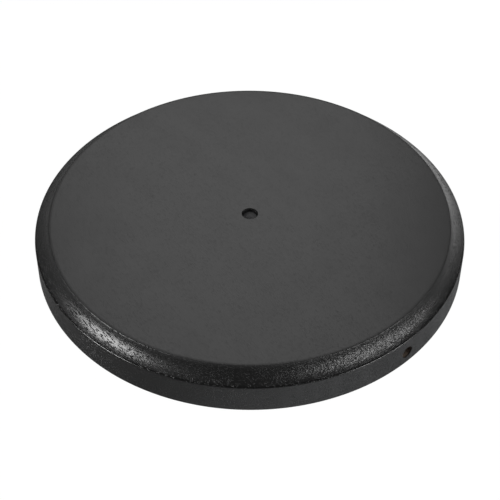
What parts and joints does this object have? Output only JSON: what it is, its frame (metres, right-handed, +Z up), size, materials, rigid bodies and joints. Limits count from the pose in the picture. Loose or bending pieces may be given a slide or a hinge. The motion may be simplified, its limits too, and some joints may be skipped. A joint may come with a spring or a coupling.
{
  "type": "turntable display stand",
  "caption": "Hand-turned display turntable: round black-stained wooden platter with a cove-moulded edge, centre locating hole and side bore, turning on a ball ring over a small footed base.",
  "frame": {"origin": "on the surface it stands on, directly below the spindle's axis", "axes": "+Z up along the spindle, towards the platter's top face; -Y towards the front, +X to the right, with the side bore at the front right, 46.6 degrees from +X towards -Y"},
  "size_m": [0.3, 0.3, 0.0545],
  "materials": {
    "black_stained_wood": "turned hardwood, black stain under satin lacquer, open pores",
    "black_painted_board": "matt black painted board",
    "zinc_plated_steel": "pressed steel, bright zinc plate",
    "blackened_steel": "turned steel, blackened and oiled",
    "polished_ball_steel": "polished hardened steel",
    "brass": "turned brass",
    "white_nylon": "natural nylon",
    "black_plastic": "moulded plastic, fine texture",
    "black_rubber": "moulded rubber"
  },
  "bodies": {
    "platter": {"platter": "black_stained_wood", "spindle": "blackened_steel", "spindle_screws": "zinc_plated_steel", "upper_race": "zinc_plated_steel", "upper_race_screws": "zinc_plated_steel", "retaining_washer": "zinc_plated_steel", "retaining_clip": "blackened_steel"},
    "ball_ring": {"ball_cage": "white_nylon", "bearing_balls": "polished_ball_steel"},
    "base": {"base_disc": "black_painted_board", "lower_race": "zinc_plated_steel", "lower_race_screws": "zinc_plated_steel", "spindle_bush": "brass", "bush_screws": "zinc_plated_steel", "thrust_washer": "white_nylon", "foot_front_left": "black_rubber", "foot_front_right": "black_rubber", "foot_rear_left": "black_rubber", "foot_rear_right": "black_rubber", "foot_washers": "zinc_plated_steel", "foot_screws": "zinc_plated_steel", "base_cap": "black_plastic"}
  },
  "joints": [
    {"name": "platter_spin", "type": "hinge", "parent": "base", "child": "platter", "pos_m": [0, 0, 0.0292], "axis": [0, 0, 1], "continuous": true},
    {"name": "ball_ring_spin", "type": "hinge", "parent": "base", "child": "ball_ring", "pos_m": [0, 0, 0.0246], "axis": [0, 0, 1], "continuous": true}
  ],
  "couplings": [
    {"joint": "ball_ring_spin", "follows": "platter_spin", "ratio": 0.5}
  ]
}
